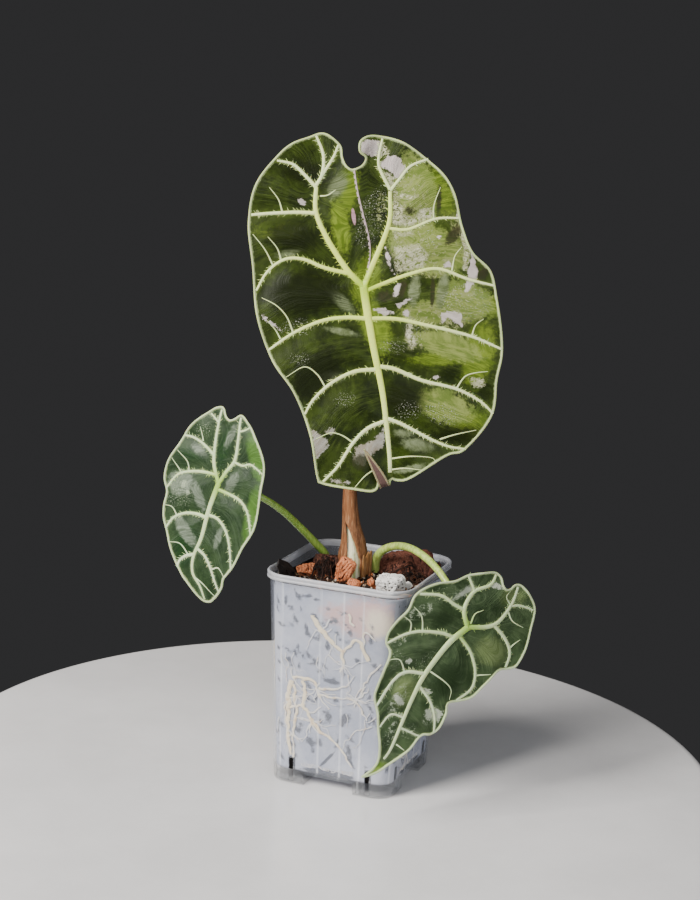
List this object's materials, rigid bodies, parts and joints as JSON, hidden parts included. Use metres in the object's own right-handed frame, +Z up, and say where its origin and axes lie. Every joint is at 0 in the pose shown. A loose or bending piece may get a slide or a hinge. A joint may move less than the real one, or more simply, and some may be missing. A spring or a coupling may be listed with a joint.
{
  "type": "potted plant",
  "caption": "Young alocasia with dark, pale-veined shield leaves on arching petioles, in bark mix, in a clear square nursery pot with corner feet and drain slots.",
  "frame": {"origin": "on the plane the pot stands on, under the middle of the whole plant's box", "axes": "+Z up; X and Y along the pot's sides, with the pot's front face toward -Y and +X to its right"},
  "size_m": [0.1799, 0.1035, 0.3047],
  "materials": {
    "clear_plastic": "milky clear, slightly scuffed",
    "potting_mix": "damp, fibrous, dark",
    "roots": "cream, dull",
    "brown_sheath": "streaked, dry",
    "pale_shoot": "smooth, waxy",
    "dry_sheath": "papery",
    "green_petiole": "smooth, satin",
    "main_leaf": "glossy, variegated",
    "side_leaf": "satin",
    "veins": "satin, raised",
    "bark": "rough",
    "husk": "rough, fibrous",
    "pumice": "pitted"
  },
  "bodies": {
    "root": {"pot": "clear_plastic", "potting_soil": "potting_mix", "root_system": "roots", "main_petiole": "brown_sheath", "inner_shoot": "pale_shoot", "papery_sheath": "dry_sheath", "left_petiole": "green_petiole", "right_petiole": "green_petiole", "main_leaf_blade": "main_leaf", "main_leaf_veins": "veins", "left_leaf_blade": "side_leaf", "left_leaf_veins": "veins", "right_leaf_blade": "side_leaf", "right_leaf_veins": "veins", "bark_chip_left": "bark", "bark_chip_front": "bark", "bark_chip_small": "bark", "bark_chip_right": "bark", "bark_strip_left": "husk", "husk_chip_left": "husk", "husk_chip_right": "husk", "husk_chip_corner": "husk", "pumice_front": "pumice", "pumice_small": "pumice"}
  },
  "joints": []
}
